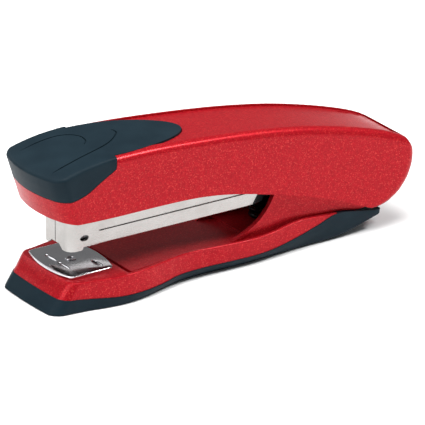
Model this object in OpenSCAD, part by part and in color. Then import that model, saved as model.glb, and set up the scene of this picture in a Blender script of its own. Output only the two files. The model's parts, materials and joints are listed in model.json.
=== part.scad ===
// Half-strip desk stapler: moulded base and foot, steel magazine with a follower, sprung cover.
// Frame: +X towards the hinge, -X the nose, +Z up, origin under the middle of the foot.

/* [Overall] */
// length from the nose lip to the rounded tail
overall_l = 140.4; // [126:0.2:180]
// height of the cover's ridge above the table
overall_h = 48.9; // [46.5:0.2:62]
// height of the cover's lower edge at the nose
skirt_z = 29.1; // [28.5:0.1:30.5]
// radius of the rounded tail about the hinge
tail_r = 15.6; // [14.8:0.1:16.2]
// height of the hinge above the table
pivot_z = 23.4; // [23.2:0.1:24.6]

/* [Cover] */
// wall of the cover
cover_t = 1.8; // [1.2:0.1:2.4]
// thickness of the soft pad
pad_t = 1.5; // [1:0.1:2]
// how much wider the nose is than the tail, on each side
nose_flare = 3.4; // [1:0.1:5]
// corner radius of the nose in plan
nose_corner_r = 3; // [2:0.1:4]
// forward lean of the nose, length per height
nose_lean = 0.3; // [0.1:0.01:0.35]
// depth of the sunk panel between the two ridges
panel_sink = 0.5; // [0.2:0.1:1]
// width of each ridge
ridge_w = 2.4; // [2:0.1:4]

/* [Base] */
// height of the rim of the tray
rim_z = 10.1; // [9.9:0.1:10.8]
// height of the tray floor
floor_z = 7.6; // [7.2:0.1:8]
// height of the deck that carries the anvil
deck_z = 9.9; // [9.6:0.1:10.2]
// wall of the tray's rim
rim_t = 1.6; // [1.2:0.1:2.4]
// height of the foot under the red tray
foot_h = 3.8; // [3.5:0.1:4.2]
// how much wider the base is than the tail, on each side, at its widest
base_flare = 7.2; // [6:0.1:10]
// forward lean of the base's front, length per height
base_lean = 0.72; // [0.3:0.01:0.9]

/* [Magazine] */
// outside width of the magazine
mag_w = 16; // [15:0.1:19.6]
// length of the magazine's outer housing
mag_l = 70.6; // [58:0.2:76]
// height of the housing's underside above the table
mag_z = 17.4; // [16.9:0.1:17.8]
// height of the housing
mag_h = 10.1; // [9.8:0.1:10.6]
// sheet thickness of the housing and the rail
sheet = 1; // [0.8:0.05:1.2]
// width of a staple over its legs
staple_w = 12.9; // [12.5:0.1:13.2]
// height of a staple
staple_h = 6.3; // [5:0.1:6.4]
// wire thickness of a staple
staple_wire = 0.55; // [0.4:0.05:0.6]
// length of the strip of staples in the magazine
strip_l = 30; // [10:1:34]
// thickness of the driver blade
blade_t = 0.55; // [0.4:0.05:0.6]

/* [Hinge and fasteners] */
// diameter of the hinge pin
pin_d = 4; // [3:0.1:5]
// sheet thickness of the handle frame
frame_t = 1; // [0.8:0.1:1.4]
// thickness of the hinge bracket's cheeks
cheek_t = 1.4; // [1:0.1:2]
// diameter of the anvil's stem
stem_d = 2.6; // [2:0.1:3.2]
// thickness of the anvil plate
anvil_t = 1; // [0.8:0.1:1.2]
// width of the anvil plate along the stapler
anvil_l = 17; // [14:0.2:18]
// width of the anvil plate across the stapler
anvil_w = 26; // [22:0.2:27]
// thread diameter of the foot and bracket screws
screw_d = 2.4; // [2:0.1:3]

/* [Clearances] */
// radial clearance of a turning or sliding fit
run_gap = 0.05; // [0.02:0.01:0.1]
// side gap between neighbouring cheeks, ears and walls
side_gap = 0.4; // [0.3:0.05:0.6]
// gap under parts that slide flat over another
slide_gap = 0.1; // [0.05:0.01:0.2]

/* [Hidden] */
nose_x = -overall_l / 2;
tail_x = overall_l / 2;
pivot_x = tail_x - tail_r;
mag_hw = mag_w / 2;
mag_x0 = nose_x + 11.8;
mag_x1 = mag_x0 + mag_l;
mag_in = mag_hw - sheet;
mag_top = mag_z + mag_h;
// lateral stack at the hinge, from the middle outwards
rail_hw = staple_w / 2 - staple_wire - slide_gap;
frame_out = mag_hw + 1.4;
frame_in = frame_out - frame_t;
cheek_in = frame_out + side_gap;
cheek_out = cheek_in + cheek_t;
tail_hw = cheek_out + side_gap + cover_t;
nose_hw = tail_hw + nose_flare;
waist_hw = cheek_out + 1;
// staple channel, from its floor upwards
rail_z = mag_z + sheet;
rail_top = rail_z + staple_h - staple_wire - 0.15;
crown_z = rail_top + slide_gap / 2;
channel_x = mag_x0 + sheet;
// the blade swings forward a little as the cover turns down, so it stands clear of the front wall
blade_x = channel_x + 0.7;
rail_x = blade_x + blade_t + 0.5;
strip_x = rail_x + slide_gap;
follower_x = strip_x + strip_l + slide_gap;
follower_l = 9;
blade_z = crown_z + staple_wire + 0.3;
rod_z = rail_z + 2.6;
rod_r = 1;
slot_hw = 1.3;
front_r = 3;
channel_r = 0.8;
// anvil, with the button under it that turns it round
anvil_x = nose_x + 17.3;
anvil_z = deck_z + slide_gap;
stem_r = stem_d / 2;
button_r = 6;
button_z = 0.8;
button_t = 1.6;
well_z = deck_z - 2;
// handle frame
frame_x0 = blade_x + blade_t;
frame_low = overall_h - 14.1;
frame_web = 1.2;
screw_r = screw_d / 2;
screw_reach = 2.6;
boss_x = [at(0.27), at(0.62)];
rivet_y = 3.4;
lip_z = overall_h - 3.6;
// where the cover's roof is no longer lowered under the pad
pad_end = at(0.43);

// fasteners of the base and the plate of the hinge bracket
foot_screw_places = [[along(0.24), 11], [along(0.24), -11], [along(0.5), 0]];
bracket_screw_places = [[along(0.57), 4.6], [along(0.57), -4.6]];
// thickness of the tray floor, and how far its screws bite into the bracket plate
tray_t = 2;
bracket_bite = 0.9;
plate_t = 1.2;
far = 200;
eps = 0.01;

$fn = 64;

red = [0.78, 0.14, 0.18];
black = [0.13, 0.18, 0.21];
nickel = [0.8, 0.79, 0.77];
chrome = [0.76, 0.76, 0.78];
zinc = [0.62, 0.63, 0.65];

// ---- curves ----

// points of an arc about c, from angle a0 to a1
function arc(c, r, a0, a1, n = 10) =
    [for (i = [0:n]) let (a = a0 + (a1 - a0) * i / n) [c[0] + r * cos(a), c[1] + r * sin(a)]];

// one point of a Catmull-Rom span between p[1] and p[2]
function span(p, t) =
    0.5 * (2 * p[1] + (p[2] - p[0]) * t + (2 * p[0] - 5 * p[1] + 4 * p[2] - p[3]) * t * t
    + (3 * p[1] - p[0] - 3 * p[2] + p[3]) * t * t * t);

// smooth curve through the points q, n steps to a span
function curve(q, n = 4) = let (m = len(q) - 1)
    [for (i = [0:m - 1], k = [0:n - (i == m - 1 ? 0 : 1)])
        span([q[max(i - 1, 0)], q[i], q[i + 1], q[min(i + 2, m)]], k / n)];

function reversed(q) = [for (i = [len(q) - 1:-1:0]) q[i]];
function mirrored(q) = [for (p = reversed(q)) [p[0], -p[1]]];
function moved(q, d) = [for (p = q) p + d];

// x of a station that is a share u of the overall length from the nose
function at(u) = nose_x + u * overall_l;
// the same for the base, whose waist sits a little further back
function along(u) = at(u + 0.008);

// ---- solids from outlines ----

// side outline in X and Z, drawn out across the stapler to half-width hw
module side(outline, hw) {
    rotate([90, 0, 0]) linear_extrude(2 * hw, center = true) polygon(outline);
}

// two plates cut to one side outline, between half-widths y0 and y1
module side_pair(outline, y0, y1) {
    for (s = [-1, 1]) translate([0, s * (y0 + y1) / 2, 0]) side(outline, (y1 - y0) / 2);
}

// plan outline drawn up from z0 to z1
module plan(outline, z0, z1) {
    translate([0, 0, z0]) linear_extrude(z1 - z0) polygon(outline);
}

// plan outline drawn up along an axis that leans back by lean per height, true to size at height z_ref
module leaning_plan(outline, z_ref, lean) {
    a = atan(lean);
    translate([0, 0, z_ref]) rotate([0, -a, 0])
        linear_extrude(4 * overall_h, center = true) polygon([for (p = outline) [p[0] * cos(a), p[1]]]);
}

// box between two corners
module block(a, b) {
    translate(a) cube(b - a);
}

// cylinder along Y, centred on the middle plane
module cross_pin(x, z, r, hw) {
    translate([x, 0, z]) rotate([90, 0, 0]) cylinder(r = r, h = 2 * hw, center = true);
}

// round wire wound on radius coil_r, standing on z = 0
module coil(coil_r, wire_r, height, turns) {
    pitch = (height - 2 * wire_r) / turns;
    sweep = 360 * wire_r / pitch;
    half = [for (i = [0:4]) let (t = -cos(180 * i / 4)) [t * sweep, wire_r * sqrt(1 - t * t)]];
    outline = concat(
        [for (p = half) (coil_r + p[1]) * [cos(p[0]), sin(p[0])]],
        [for (i = [3:-1:1]) (coil_r - half[i][1]) * [cos(half[i][0]), sin(half[i][0])]]);
    difference() {
        linear_extrude(height, twist = -360 * turns, slices = 12 * turns, segments = len(outline), convexity = 20)
            polygon(outline);
        translate([0, 0, height - eps]) cylinder(r = coil_r + 2 * wire_r, h = 1);
    }
}

// ---- cover ----

// half-width of the cover at x
function cover_hw(x) = tail_hw + nose_flare * pow(max(0, (tail_x - x) / overall_l), 1.5);

// plan outline of the cover's nose at the height of its lip, set in by i
function nose_plan(i) = let (
    big_r = 34 - i,
    c = [nose_x + 34, 0],
    hw = nose_hw - 0.2 - i,
    r = max(nose_corner_r - i, 0.5),
    corner = [c[0] - sqrt(pow(big_r - r, 2) - pow(hw - r, 2)), hw - r],
    a = atan2(corner[1], corner[0] - c[0]),
    flank = concat(arc(c, big_r, 180, a, 5), arc(corner, r, a, 92, 4),
        [for (k = [1:6]) let (x = corner[0] + (tail_x + 40 - corner[0]) * k / 6)
            [x, cover_hw(x) - i]]))
    concat(mirrored(flank), flank);

// plan outline that rounds the two rear corners, set in by i
function tail_plan(i) = let (
    r = 4,
    flank = concat([[nose_x - 30, 60], [pivot_x - 20, 60], [pivot_x - 20, tail_hw + 1 - i]],
        arc([tail_x - r, tail_hw + 0.4 - r], r - i, 90, 0, 5)))
    concat(flank, mirrored(flank));

// height of the ridge line, from the nose to the tail
function ridge_line(drop) = moved(curve([
    [at(-0.01), lip_z - 0.2], [at(0.03), overall_h - 2.3], [at(0.09), overall_h - 0.8],
    [at(0.16), overall_h], [at(0.21), overall_h - 0.1], [at(0.3), overall_h - 0.7],
    [at(0.4), overall_h - 1.9], [at(0.5), overall_h - 3.4], [at(0.6), overall_h - 5.3],
    [at(0.71), overall_h - 8.1], [at(0.82), overall_h - 12], [at(0.91), overall_h - 16],
    [at(0.97), overall_h - 19.7]], 3), [0, -drop]);

// lower edge of the cover's sides, from the tail to the nose
skirt_line = curve([
    [pivot_x, pivot_z - tail_r], [pivot_x - tail_r, skirt_z - 14.7], [at(0.7), skirt_z - 10.8],
    [at(0.61), skirt_z - 7.2], [at(0.52), skirt_z - 4], [at(0.45), skirt_z - 2.1],
    [at(0.38), skirt_z - 1], [at(0.29), skirt_z - 0.5], [at(0.17), skirt_z - 0.2],
    [at(0.05), skirt_z + 0.5], [at(-0.03), skirt_z + 1.6]], 3);

// side outline of the cover, its top lowered by drop and its tail set in by i
function cover_side(i, drop) = concat(
    ridge_line(drop), arc([pivot_x, pivot_z], tail_r - i, 16, -90, 14), skirt_line);

// solid that the cover's outer skin follows, set in by i and lowered by drop
module cover_form(i = 0, drop = 0) {
    intersection() {
        leaning_plan(nose_plan(i), lip_z, nose_lean);
        plan(tail_plan(i), -20, 90);
        side(cover_side(i, drop), 40);
    }
}

// cover with rounded ridges and a sunk panel between them
module cover_outside() {
    panel_x = at(0.185);
    difference() {
        union() {
            cover_form(0, 1.3);
            cover_form(0.5, 0.5);
            cover_form(1.2, 0);
        }
        intersection() {
            difference() {
                leaning_plan(nose_plan(ridge_w), lip_z, nose_lean);
                side(cover_side(0, panel_sink), 60);
            }
            block([panel_x, -30, overall_h - 25], [tail_x - 3, 30, overall_h + 5]);
        }
    }
}

// hollow of the cover, open downwards
module cover_hollow() {
    nose_wall = pad_t + cover_t;
    rest = concat(arc([pivot_x, pivot_z], tail_r - cover_t, 14, -7, 4),
        [[tail_x + 5, pivot_z - 1.8], [tail_x + 5, -5], [nose_x, -5]]);
    intersection() {
        leaning_plan(nose_plan(cover_t), lip_z, nose_lean);
        plan(tail_plan(cover_t), -10, 90);
        side(concat(ridge_line(panel_sink + cover_t), rest), 40);
        union() {
            intersection() {
                leaning_plan(nose_plan(nose_wall), lip_z, nose_lean);
                block([nose_x, -40, -10], [at(0.3), 40, overall_h - nose_wall - 1.8]);
            }
            // the roof is lower under the pad
            intersection() {
                block([at(0.22), -40, -10], [pad_end + 1, 40, 90]);
                side(concat(ridge_line(panel_sink + nose_wall), rest), 40);
            }
            block([pad_end, -40, -10], [tail_x, 40, 90]);
            block([nose_x, -40, -10], [at(0.25), 40, lip_z - 9.5]);
        }
    }
    // the tail is open below the rear wall
    intersection() {
        block([pivot_x, -cheek_out - side_gap, -5], [tail_x + 1, cheek_out + side_gap, pivot_z - 1.8]);
        cross_pin(pivot_x, pivot_z, tail_r + 1, 30);
    }
}

// region of the nose that the soft pad covers
module pad_region() {
    step = [at(0.183), overall_h - 3];
    edge = curve([[at(-0.03), lip_z - 7.6], [at(0.045), lip_z - 7.4], [at(0.09), lip_z - 6.4],
        [at(0.13), lip_z - 3.4], [at(0.165), lip_z - 0.7], step], 3);
    tip = 32;
    top_hw = cover_hw(step[0]) - ridge_w + 0.4;
    union() {
        side(concat(edge, [[step[0], overall_h + 9], [nose_x - 9, overall_h + 9]]), 40);
        plan(concat([[step[0] - 2, -top_hw]],
            [for (k = [0:14]) let (a = -90 + 180 * k / 14)
                [step[0] + tip * cos(a), top_hw * sin(a)]],
            [[step[0] - 2, top_hw]]), overall_h - 8, overall_h + 9);
    }
}

module thumb_pad() {
    color(black) intersection() {
        difference() {
            cover_outside();
            cover_form(pad_t, pad_t + panel_sink);
        }
        pad_region();
    }
}

module cover_shell() {
    nose_wall = pad_t + cover_t;
    color(red) difference() {
        union() {
            difference() {
                cover_outside();
                difference() {
                    pad_region();
                    cover_form(pad_t, pad_t + panel_sink);
                }
                cover_hollow();
                for (x = [at(0.895), at(0.915)]) rear_slit(x);
            }
            // bosses that the handle frame is screwed up against, ending inside the roof
            for (x = boss_x) intersection() {
                translate([x, 0, frame_top(x) - 0.5]) cylinder(r = 3, h = 12);
                side(concat(ridge_line(panel_sink + (x < pad_end ? nose_wall : cover_t) - 0.6),
                    [[tail_x, 0], [nose_x, 0]]), 9);
                side(concat(frame_line(0), [[tail_x, 90], [nose_x, 90]]), 9);
            }
        }
        for (x = boss_x)
            translate([x, 0, frame_top(x) - 1]) cylinder(r = screw_r, h = screw_reach + 1.2);
    }
}

// a pair of thin slits through the panel near the tail
module rear_slit(x) {
    for (s = [-1, 1])
        translate([x, s * (cover_hw(x) - ridge_w - 0.7), 0])
            block([0, -0.25, overall_h - 25], [2.4, 0.25, overall_h - 10]);
}

// ---- handle frame, driver and their fasteners ----

// line of the handle frame's top face, lowered by drop
function frame_line(drop) = moved([[frame_x0, overall_h - 7.3], [at(0.25), overall_h - 5.8],
    [at(0.4), overall_h - 6.6], [at(0.6), overall_h - 10.2], [at(0.8), overall_h - 16.8],
    [pivot_x + 4, pivot_z + 5.8]], [0, -drop]);

// height of the frame's top face at x
function frame_top(x) = lookup(x, frame_line(0));

module handle_frame() {
    ear_r = pin_d / 2 + 3;
    low = [[pivot_x + ear_r, pivot_z], for (p = arc([pivot_x, pivot_z], ear_r, -10, -110, 6)) p,
        [at(0.72), frame_low - 7.2], [at(0.56), frame_low - 1], [at(0.48), frame_low],
        [frame_x0, frame_low]];
    color(zinc) difference() {
        side(concat(frame_line(0), [[pivot_x + ear_r, pivot_z + 2]], low), frame_out);
        // inside of the channel; the front tab that carries the driver stays
        side(concat(frame_line(frame_web), [[far, 0], [frame_x0 + frame_t, 0]]), frame_in);
        cross_pin(pivot_x, pivot_z, pin_d / 2 + run_gap, far);
        for (s = [-1, 1]) driver_hole(s);
        for (x = boss_x)
            translate([x, 0, frame_top(x) - 4]) cylinder(r = screw_r, h = 8);
    }
}

module driver_hole(s) {
    translate([frame_x0 - 5, s * rivet_y, frame_low + 4]) rotate([0, 90, 0]) cylinder(r = 1, h = 10);
}

module driver_blade() {
    hw = staple_w / 2 - 0.2;
    color(zinc) difference() {
        block([blade_x, -hw, blade_z], [blade_x + blade_t, hw, overall_h - 7.6]);
        for (s = [-1, 1]) driver_hole(s);
    }
}

module driver_rivets() {
    color(zinc) for (s = [-1, 1])
        translate([blade_x, s * rivet_y, frame_low + 4]) rotate([0, 90, 0]) {
            cylinder(r = 1, h = blade_t + frame_t);
            translate([0, 0, -0.7]) cylinder(r = 1.7, h = 0.7);
            translate([0, 0, blade_t + frame_t]) cylinder(r = 1.6, h = 0.6);
        }
}

module frame_screws() {
    head_h = 1.2;
    // the heads hang below the sloping web
    drop = frame_web + 0.8 + head_h;
    color(zinc) for (x = boss_x)
        translate([x, 0, frame_top(x) - drop])
            pan_screw(screw_r, 2.2, head_h, drop - head_h + screw_reach);
}

// pan-head screw standing on z = 0, head down, with a cross recess
module pan_screw(r, head_r, head_h, length) {
    difference() {
        union() {
            cylinder(r = head_r, h = head_h);
            cylinder(r = r, h = head_h + length);
        }
        for (a = [0, 90]) rotate([0, 0, a]) translate([-0.3, -1.1, -1]) cube([0.6, 2.2, 1.7]);
    }
}

module cover_spring() {
    x = at(0.68);
    color(zinc) translate([x, 0, rail_top])
        coil(3.4, 0.4, frame_top(x - 2.5) - frame_web - rail_top - 1.4, 8);
}

// ---- magazine ----

// slanted rear edge of the steel housing
housing_end = [[mag_x1 - 2, mag_z], [mag_x1 - 1.3, mag_z + 1.4], [mag_x1 + 0.5, mag_z + 4.2],
    [mag_x1 + 2.4, mag_top]];

module magazine_housing() {
    outline = concat([[mag_x0, mag_z], [mag_x0, mag_top]], reversed(housing_end));
    color(nickel) difference() {
        union() {
            intersection() {
                side(outline, mag_hw);
                plan(rounded_front(mag_x0, mag_hw, front_r), 0, 60);
            }
            // guide teeth under the two front corners
            for (s = [-1, 1])
                translate([mag_x0 + 0.1, s * 4.9, mag_z - 0.9])
                    block([0, -0.7, 0], [sheet, 0.7, 1.4]);
        }
        // staple channel
        plan(rounded_front(channel_x, mag_in, channel_r), rail_z, 60);
        // staple exit
        block([channel_x, -staple_w / 2 - 0.1, 0], [rail_x, staple_w / 2 + 0.1, rail_z + 1]);
        // folded front: seam down the middle and the cut-up lower edge
        block([mag_x0 - 1, -0.12, mag_z - 1], [channel_x + 0.5, 0.12, mag_top + 1]);
        block([mag_x0 - 1, -4, mag_z - 1], [channel_x + 0.2, 4, mag_z + 0.7]);
        for (s = [-1, 1]) {
            // sunk panel along the side
            translate([0, s * (mag_hw + 0.65), 0])
                block([mag_x0 + 11, -1, mag_z + 4.4], [mag_x1 - 2, 1, mag_z + 6.9]);
            // oval peep hole
            translate([mag_x0 + 5.7, s * mag_hw, mag_z + 3.2]) rotate([90, 0, 0])
                linear_extrude(6, center = true) oval(0.65, 1);
        }
    }
}

// oval with round ends of radius r whose centres are 2 * half apart along X
module oval(half, r) {
    union() {
        for (s = [-1, 1]) translate([s * half, 0]) circle(r = r);
        square([2 * half, 2 * r], center = true);
    }
}

// plan outline with two rounded front corners, open-ended towards the rear
function rounded_front(x0, hw, r) = concat(
    [[far, hw]], arc([x0 + r, hw - r], r, 90, 180, 6), arc([x0 + r, r - hw], r, 180, 270, 6), [[far, -hw]]);

module staple_rail() {
    ear_r = pin_d / 2 + 2.8;
    web_end = pivot_x - 14;
    ear = concat([[rail_x, rail_z], [rail_x, rail_top], [web_end + 4, rail_top]],
        arc([pivot_x, pivot_z], ear_r, 100, -95, 14), [[pivot_x - 6, rail_z]]);
    color(zinc) difference() {
        side(ear, rail_hw);
        // hollow of the channel, open below
        block([rail_x + sheet, sheet - rail_hw, 0], [web_end, rail_hw - sheet, rail_top - sheet]);
        block([web_end - eps, sheet - rail_hw, 0], [far, rail_hw - sheet, 60]);
        // slot for the follower's tab
        block([rail_x + 3, -slot_hw, 0], [mag_x1 - 4, slot_hw, 60]);
        translate([rail_x - 1, 0, rod_z]) rotate([0, 90, 0]) cylinder(r = rod_r, h = 3);
        cross_pin(pivot_x, pivot_z, pin_d / 2 + run_gap, far);
    }
}

module guide_rod() {
    color(zinc) translate([rail_x, 0, rod_z]) rotate([0, 90, 0])
        cylinder(r = rod_r, h = mag_x1 + 2 - rail_x);
}

module magazine_end_cap() {
    cap_x = mag_x1 + 4.2;
    outline = concat(housing_end, [[cap_x, mag_top], [cap_x, mag_z + 4.6], [cap_x - 2.4, mag_z + 0.6]]);
    color(black) difference() {
        side(outline, mag_hw - 0.3);
        difference() {
            block([0, -rail_hw, rail_z], [far, rail_hw, rail_top]);
            block([0, sheet - rail_hw, 0], [far, rail_hw - sheet, rail_top - sheet]);
        }
        translate([mag_x1 - 9, 0, rod_z]) rotate([0, 90, 0]) cylinder(r = rod_r, h = 11);
    }
}

module staple_strip() {
    hw = staple_w / 2;
    color(nickel) difference() {
        block([strip_x, -hw, rail_z + slide_gap], [strip_x + strip_l, hw, crown_z + staple_wire]);
        block([strip_x - 1, staple_wire - hw, 0], [strip_x + strip_l + 1, hw - staple_wire, crown_z]);
    }
}

module follower() {
    x1 = follower_x + follower_l;
    hw = staple_w / 2;
    color(zinc) difference() {
        union() {
            difference() {
                block([follower_x, -hw, rail_z + 0.8], [x1, hw, crown_z + 2]);
                block([follower_x - 1, -rail_hw - slide_gap, 0], [x1 + 1, rail_hw + slide_gap, crown_z]);
            }
            block([follower_x, slide_gap - slot_hw, rod_z], [x1, slot_hw - slide_gap, crown_z + 1]);
            translate([follower_x, 0, rod_z]) rotate([0, 90, 0]) cylinder(r = 2.1, h = follower_l);
        }
        translate([follower_x - 1, 0, rod_z]) rotate([0, 90, 0])
            cylinder(r = rod_r + run_gap, h = follower_l + 2);
    }
}

module follower_spring() {
    x0 = follower_x + follower_l;
    color(zinc) translate([x0, 0, rod_z]) rotate([0, 90, 0])
        coil(1.55, 0.25, mag_x1 - 1.5 - x0, 22);
}

// ---- base ----

// half-width of the base at its stations from front to rear
base_side_line = let (w = waist_hw, f = base_flare) curve([
    [along(-0.06), w + 0.56 * f], [along(0.03), w + 0.58 * f], [along(0.09), w + 0.7 * f],
    [along(0.13), w + 0.87 * f], [along(0.18), w + f], [along(0.235), w + 0.92 * f],
    [along(0.29), w + 0.68 * f], [along(0.345), w + 0.45 * f], [along(0.41), w + 0.37 * f],
    [along(0.47), w + 0.4 * f], [along(0.54), w + 0.4 * f], [along(0.61), w + 0.3 * f],
    [along(0.7), w + 0.18 * f], [along(0.79), w + 0.12 * f], [along(0.88), w + 0.06 * f]], 3);

// plan outline of the base's sides, set in by i, ending at x1
function base_sides(i, x1) = let (
    flank = [for (p = base_side_line) if (p[0] < x1 - 2) [p[0], p[1] - i]],
    last = flank[len(flank) - 1][1])
    concat(flank, [[x1 - 1.5, last - 0.2], [x1, last - 1.7]],
        mirrored(concat(flank, [[x1 - 1.5, last - 0.2], [x1, last - 1.7]])));

// plan outline of the base's front at table height, set in by i
function base_front(i) = let (
    big_r = 160,
    c = [nose_x + big_r, 0],
    r = 4.5,
    hw = waist_hw + 0.6 * base_flare,
    corner = [c[0] - sqrt(pow(big_r - r, 2) - pow(hw - r, 2)), hw - r],
    a = atan2(corner[1], corner[0] - c[0]),
    flank = concat(arc(c, big_r - i, 180, a, 5), arc(corner, r - i, a, 98, 5),
        [[nose_x + 60, hw + 12], [far, hw + 12]]))
    concat(mirrored(flank), flank);

// line where the foot meets the red tray, lifted by lift
function part_line(lift) = moved(curve([
    [along(-0.06), foot_h + 1.3], [along(0.03), foot_h + 0.8], [along(0.1), foot_h],
    [along(0.17), foot_h - 0.7], [along(0.28), foot_h - 0.8], [along(0.33), foot_h - 0.2],
    [along(0.46), foot_h - 0.3], [along(0.58), foot_h - 0.3], [along(0.66), foot_h + 1.4],
    [along(0.72), foot_h + 3.5], [along(0.775), foot_h + 5.7]], 3), [0, lift]);

module base_form(i, top, bottom) {
    intersection() {
        leaning_plan(base_front(i), 0, -base_lean);
        plan(base_sides(i, along(0.9)), -1, 40);
        side(concat(top, reversed(bottom)), 60);
    }
}

// top edge of the tray's rim
rim_line = curve([[along(-0.06), deck_z], [along(0.15), deck_z], [along(0.19), deck_z + 0.1],
    [along(0.34), rim_z], [along(0.54), rim_z - 1], [along(0.6), rim_z - 0.6],
    [along(0.64), rim_z + 0.3], [along(0.68), rim_z + 0.7], [along(0.775), foot_h + 6]], 3);

module base_shell() {
    step_x = anvil_x + anvil_l / 2 + 0.4;
    plateau = base_sides(rim_t + 3, along(0.74));
    color(red) difference() {
        base_form(0.5, rim_line, part_line(0));
        // tray: a plateau with a shallow channel round it
        intersection() {
            plan(base_sides(rim_t, along(0.9)), floor_z, 60);
            block([step_x, -60, 0], [far, 60, 60]);
        }
        difference() {
            intersection() {
                plan(base_sides(rim_t, along(0.9)), floor_z - 0.7, 60);
                block([step_x + 4, -60, 0], [along(0.66), 60, 60]);
            }
            plan(plateau, 0, 60);
        }
        // hollow underside
        intersection() {
            plan(base_sides(rim_t + 3.2, along(0.6)), 0, floor_z - tray_t);
            block([anvil_x + 8, -60, 0], [along(0.6), 60, 60]);
            difference() {
                block([nose_x, -60, 0], [far, 60, 60]);
                for (p = foot_screw_places) translate([p[0], p[1], 0]) cylinder(r = 3, h = 60);
            }
        }
        // anvil stem bore and button well
        translate([anvil_x, 0, -1]) cylinder(r = stem_r + run_gap, h = 40);
        translate([anvil_x, 0, -1]) cylinder(r = button_r + side_gap, h = well_z + 1);
        for (p = foot_screw_places)
            translate([p[0], p[1], -1]) cylinder(r = screw_r, h = foot_h + 3.2);
        for (p = bracket_screw_places)
            translate([p[0], p[1], floor_z - tray_t - 1]) cylinder(r = screw_r, h = tray_t + 2);
    }
}

// rear edge and underside of the foot, swept up into the tail
foot_under = [[along(-0.06), 0], [along(0.63), 0], [along(0.7), 0.2], [along(0.79), 1],
    [along(0.9), 5.4]];
tail_top = [[pivot_x - 7, pivot_z - 15.2], [pivot_x - 3, pivot_z - tail_r - 0.35],
    [pivot_x + 1.6, pivot_z - tail_r - 0.6]];

module base_foot() {
    color(black) difference() {
        base_form(0, concat(part_line(0), tail_top), foot_under);
        translate([anvil_x, 0, -1]) cylinder(r = button_r + side_gap, h = 30);
        for (p = foot_screw_places) translate([p[0], p[1], -1]) {
            cylinder(r = screw_r, h = 30);
            cylinder(r = 2.8, h = 2.4);
        }
        // the open cover's tail swings past here
        cross_pin(pivot_x, pivot_z, tail_r + 0.3, far);
    }
}

module foot_screws() {
    color(zinc) for (p = foot_screw_places)
        translate([p[0], p[1], 0.4]) pan_screw(screw_r, 2.4, 1, foot_h + 0.6);
}

// driven up through the tray floor, so that nothing shows from above
module bracket_screws() {
    color(zinc) for (p = bracket_screw_places)
        translate([p[0], p[1], floor_z - tray_t - 1])
            pan_screw(screw_r, 2.1, 1, tray_t + bracket_bite);
}

module hinge_bracket() {
    top_r = pin_d / 2 + 4.4;
    cheek = concat(
        curve([[along(0.485), floor_z], [along(0.53), floor_z + 2.6], [along(0.57), floor_z + 5.9],
            [along(0.606), floor_z + 12.6], [along(0.63), floor_z + 17.3], [along(0.7), floor_z + 20],
            [pivot_x - 12, pivot_z + top_r - 0.8]], 3),
        arc([pivot_x, pivot_z], top_r, 95, -15, 10),
        [[pivot_x - 1.4, pivot_z - 13.2], [pivot_x - 3.2, pivot_z - 15.2 + 0.3],
        [pivot_x - 7, pivot_z - 15.2 + 0.3]],
        reversed(foot_seat));
    color(red) difference() {
        union() {
            side_pair(cheek, cheek_in, cheek_out);
            block([along(0.54), -cheek_in - 0.2, floor_z], [along(0.69), cheek_in + 0.2, floor_z + plate_t]);
        }
        cross_pin(pivot_x, pivot_z, pin_d / 2, far);
        for (p = bracket_screw_places)
            translate([p[0], p[1], 0]) cylinder(r = screw_r, h = floor_z + bracket_bite);
    }
}

// top of the foot where the cheeks stand on it, behind the tray floor
foot_seat = concat([[along(0.705), floor_z]],
    [for (p = part_line(0.1)) if (p[1] > floor_z + 0.1 && p[0] > along(0.7)) p]);

module hinge_pin() {
    color(zinc) cross_pin(pivot_x, pivot_z, pin_d / 2, cheek_out);
}

module return_spring() {
    color(zinc) translate([along(0.64), 0, floor_z + plate_t])
        coil(rail_hw - 0.6, 0.5, rail_z - floor_z - plate_t, 5);
}

// ---- anvil ----

module anvil_plate() {
    big_r = 40;
    r = 1.8;
    hw = anvil_w / 2;
    bow = big_r - sqrt(big_r * big_r - hw * hw);
    cx = anvil_l / 2 - big_r + bow * 0.6;
    corner = [cx + sqrt(pow(big_r - r, 2) - pow(hw - r, 2)), hw - r];
    a = atan2(corner[1], corner[0] - cx);
    quarter = concat(arc([cx, 0], big_r, 0, a, 5), arc(corner, r, a, 90, 4));
    half = concat(mirrored(quarter), quarter);
    outline = concat(half, [for (p = reversed(half)) [-p[0], p[1]]]);
    color(chrome) difference() {
        translate([anvil_x, 0, anvil_z]) linear_extrude(anvil_t) polygon(outline);
        translate([anvil_x, 0, 0]) cylinder(r = stem_r + run_gap, h = 40);
        // closed clinch: legs turn in, grooves meet near the middle
        shallow_groove(-4.4, 0.25, 7.4);
        // open clinch for pinning: legs turn out
        shallow_groove(4.8, 5.6, 10.2);
    }
}

// pair of scooped grooves across the anvil at x from the rivet, between half-widths y0 and y1
module shallow_groove(x, y0, y1) {
    w = 1.8;
    depth = 0.55;
    half = (y1 - y0) / 2;
    r = (half * half + depth * depth) / (2 * depth);
    for (s = [-1, 1])
        translate([anvil_x + x, s * (y0 + y1) / 2, anvil_z + anvil_t + r - depth])
            rotate([0, 90, 0]) cylinder(r = r, h = w, center = true, $fn = 96);
}

module anvil_rivet() {
    color(chrome) translate([anvil_x, 0, anvil_z + anvil_t]) difference() {
        cylinder(r = 1.8, h = 0.35);
        translate([0, 0, -1]) cylinder(r = 0.9, h = 3);
    }
}

module anvil_button() {
    color(black) translate([anvil_x, 0, 0]) union() {
        translate([0, 0, button_z]) cylinder(r = button_r, h = button_t);
        translate([0, 0, button_z]) cylinder(r = stem_r, h = anvil_z + anvil_t - slide_gap - button_z);
    }
}

module anvil_spring() {
    spring_z = button_z + button_t;
    color(zinc) translate([anvil_x, 0, spring_z]) coil(3, 0.35, well_z - spring_z, 4);
}

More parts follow.
